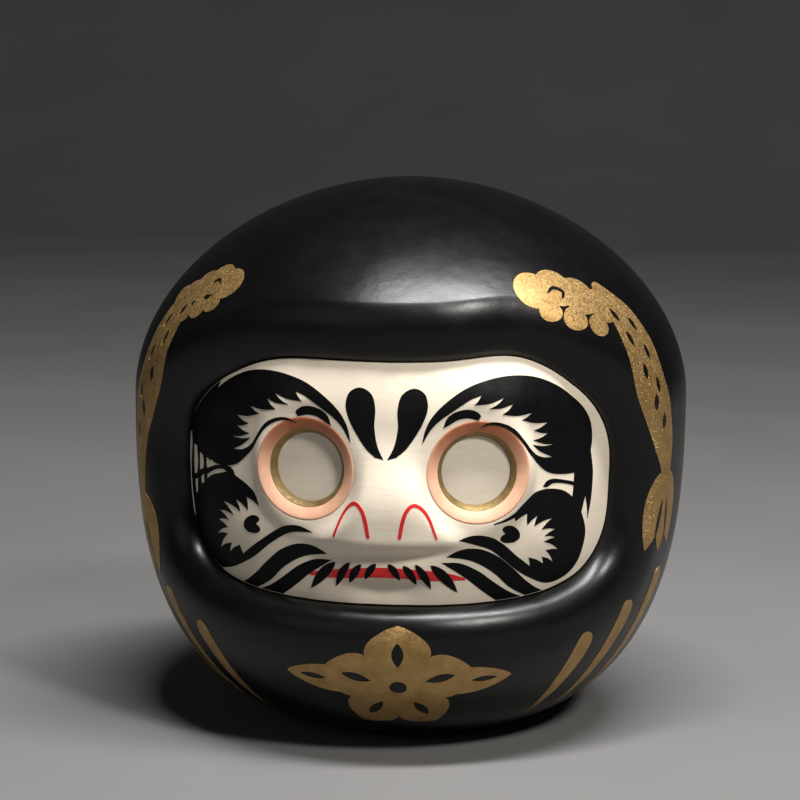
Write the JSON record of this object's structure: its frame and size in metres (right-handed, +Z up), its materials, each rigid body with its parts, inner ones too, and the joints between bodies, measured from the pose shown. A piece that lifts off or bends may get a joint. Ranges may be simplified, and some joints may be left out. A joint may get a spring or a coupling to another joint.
{
  "type": "daruma doll",
  "caption": "Round hollow roly-poly doll of moulded paper with a rolled hood, a recessed relief face with blank eyes, and a weighted base.",
  "frame": {"origin": "centre of the round underside, on the surface the doll stands on", "axes": "+Z up along the body's axis, face towards -Y, +X to the viewer's right when facing the doll"},
  "size_m": [0.1, 0.096, 0.098],
  "materials": {
    "body_black": "satin",
    "face_ivory": "matte",
    "eye_ivory": "matte",
    "washi": "matte",
    "clay": "matte",
    "paint_black": "satin",
    "paint_red": "satin",
    "paint_peach": "matte",
    "paint_gold": "satin"
  },
  "bodies": {
    "root": {"front_shell": "body_black", "rear_shell": "body_black", "face_panel": "face_ivory", "eye_disc_left": "eye_ivory", "eye_disc_right": "eye_ivory", "seam_strip_left": "washi", "seam_strip_right": "washi", "seam_strip_crown": "washi", "base_weight": "clay", "base_paper": "washi"}
  },
  "joints": []
}
